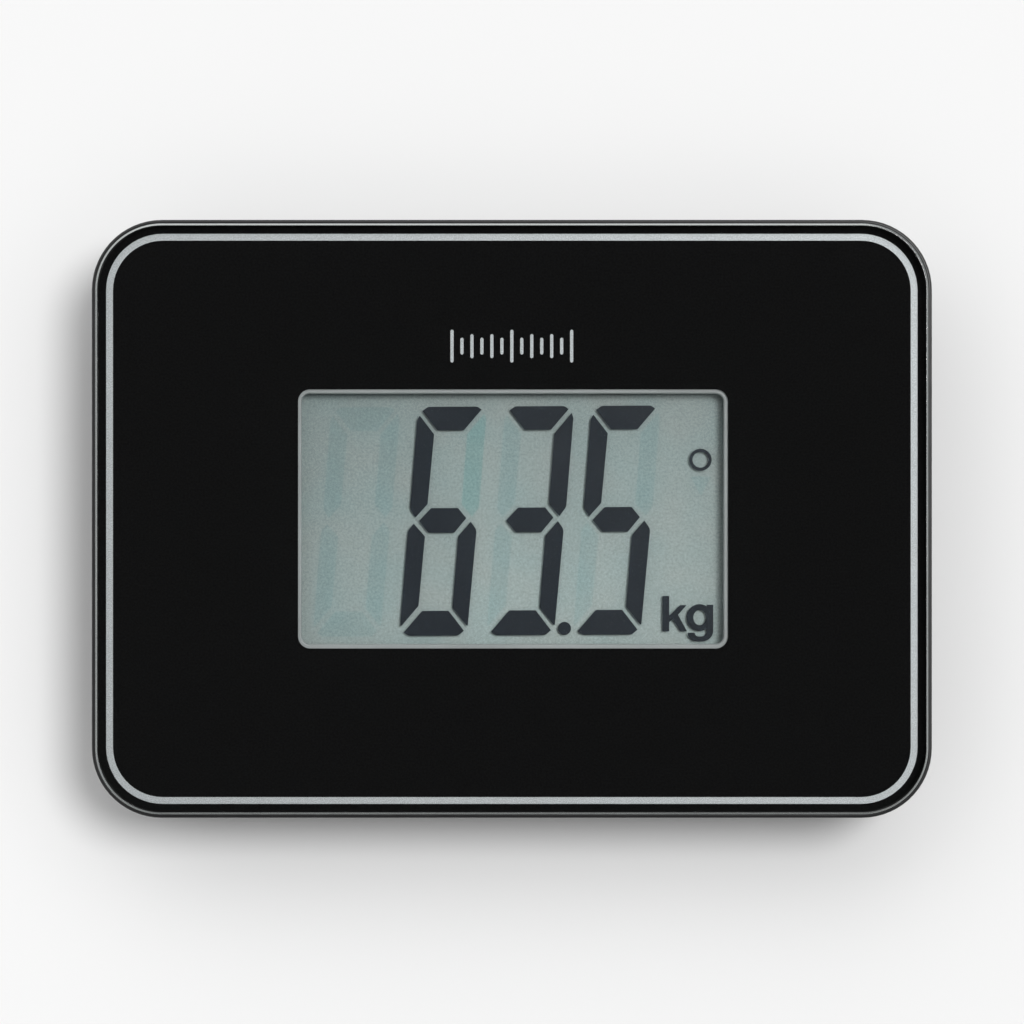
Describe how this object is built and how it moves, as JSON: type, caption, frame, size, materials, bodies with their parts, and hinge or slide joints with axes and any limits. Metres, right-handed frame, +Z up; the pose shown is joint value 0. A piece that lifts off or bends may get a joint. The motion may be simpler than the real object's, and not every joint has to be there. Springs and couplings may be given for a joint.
{
  "type": "digital bathroom scale",
  "caption": "Compact digital bathroom scale with a black glass platform, a central liquid crystal display, load-cell feet, a battery door and a unit selector underneath.",
  "frame": {"origin": "on the floor, under the middle of the platform", "axes": "+Z up, +X along the long side to the right of the display, +Y towards the top of the displayed digits"},
  "size_m": [0.21, 0.1494, 0.031],
  "materials": {
    "platform_glass": "clear toughened glass with polished edges",
    "black_print": "black enamel printed under the glass",
    "silver_ink": "fine silver ink printed under the glass",
    "foam_tape": "black adhesive foam",
    "case_plastic": "black ABS with a soft polish",
    "bezel_plastic": "light grey ABS, matt",
    "lcd_glass": "thin clear glass",
    "polarizer_film": "grey film with a faint anti-glare surface",
    "reflector_film": "grey-green reflecting film with a fine grain",
    "connector_rubber": "pink silicone strip with a black core",
    "circuit_board": "green solder mask on glass-filled resin",
    "chip_resin": "black epoxy blob",
    "ceramic_tan": "tan ceramic",
    "socket_nylon": "natural nylon",
    "bright_steel": "bright zinc plating",
    "cover_plastic": "black ABS with a fine spark texture",
    "label_film": "plain silver polyester film",
    "battery_sleeve": "plain printed sleeve on a steel can",
    "nickel_plate": "nickel plated spring steel",
    "switch_plastic": "black polyester resin",
    "knob_plastic": "light grey ABS, matt",
    "red_insulation": "soft red vinyl",
    "black_insulation": "soft black vinyl",
    "grey_insulation": "soft grey vinyl",
    "cell_steel": "ground spring steel",
    "white_sealant": "white silicone",
    "retainer_plastic": "natural white ABS",
    "foot_plastic": "black ABS",
    "pad_rubber": "dark grey grip rubber"
  },
  "bodies": {
    "case": {"back_print": "black_print", "battery_front": "battery_sleeve", "battery_lead_negative": "black_insulation", "battery_lead_positive": "red_insulation", "battery_rear": "battery_sleeve", "bezel_gasket": "foam_tape", "board_capacitors": "ceramic_tan", "board_crystal": "bright_steel", "board_screws": "bright_steel", "bottom_cover": "cover_plastic", "cell_lead_front_left": "grey_insulation", "cell_lead_front_right": "grey_insulation", "cell_lead_rear_left": "grey_insulation", "cell_lead_rear_right": "grey_insulation", "cell_retainer_front_left": "retainer_plastic", "cell_retainer_front_right": "retainer_plastic", "cell_retainer_rear_left": "retainer_plastic", "cell_retainer_rear_right": "retainer_plastic", "connector_strip_front": "connector_rubber", "connector_strip_rear": "connector_rubber", "contact_link": "nickel_plate", "contact_negative": "nickel_plate", "contact_positive": "nickel_plate", "controller_chip": "chip_resin", "cover_screws": "bright_steel", "display_bezel": "bezel_plastic", "gauge_sealant_front_left": "white_sealant", "gauge_sealant_front_right": "white_sealant", "gauge_sealant_rear_left": "white_sealant", "gauge_sealant_rear_right": "white_sealant", "glass_platform": "platform_glass", "graduation_mark": "silver_ink", "lcd_front_glass": "lcd_glass", "lcd_front_polarizer": "polarizer_film", "lcd_rear_glass": "lcd_glass", "lcd_reflector": "reflector_film", "lead_sockets": "socket_nylon", "load_cell_front_left": "cell_steel", "load_cell_front_right": "cell_steel", "load_cell_rear_left": "cell_steel", "load_cell_rear_right": "cell_steel", "main_board": "circuit_board", "platform_tape": "foam_tape", "rating_label": "label_film", "retainer_screws": "bright_steel", "silver_stripe": "silver_ink", "unit_switch": "switch_plastic", "upper_case": "case_plastic"},
    "foot_rear_left": {"foot_rear_left": "foot_plastic", "foot_pad_rear_left": "pad_rubber"},
    "foot_rear_right": {"foot_rear_right": "foot_plastic", "foot_pad_rear_right": "pad_rubber"},
    "foot_front_left": {"foot_front_left": "foot_plastic", "foot_pad_front_left": "pad_rubber"},
    "foot_front_right": {"foot_front_right": "foot_plastic", "foot_pad_front_right": "pad_rubber"},
    "door": {"battery_door": "cover_plastic"},
    "selector": {"unit_knob": "knob_plastic", "unit_switch_lever": "switch_plastic"}
  },
  "joints": [
    {"name": "foot_press_rear_left", "type": "slide", "parent": "case", "child": "foot_rear_left", "axis": [0, 0, 1], "range_m": [-0.0004, 0.0006], "stiffness_N_per_m": 1250, "deforming": ["load_cell_rear_left"]},
    {"name": "foot_press_rear_right", "type": "slide", "parent": "case", "child": "foot_rear_right", "axis": [0, 0, 1], "range_m": [-0.0004, 0.0006], "stiffness_N_per_m": 1250, "deforming": ["load_cell_rear_right"]},
    {"name": "foot_press_front_left", "type": "slide", "parent": "case", "child": "foot_front_left", "axis": [0, 0, 1], "range_m": [-0.0004, 0.0006], "stiffness_N_per_m": 1250, "deforming": ["load_cell_front_left"]},
    {"name": "foot_press_front_right", "type": "slide", "parent": "case", "child": "foot_front_right", "axis": [0, 0, 1], "range_m": [-0.0004, 0.0006], "stiffness_N_per_m": 1250, "deforming": ["load_cell_front_right"]},
    {"name": "door_hinge", "type": "hinge", "parent": "case", "child": "door", "pos_m": [0, -0.0389, 0.0057], "axis": [1, 0, 0], "range_deg": [0, 95]},
    {"name": "unit_slide", "type": "slide", "parent": "case", "child": "selector", "axis": [1, 0, 0], "range_m": [0, 0.005]}
  ]
}
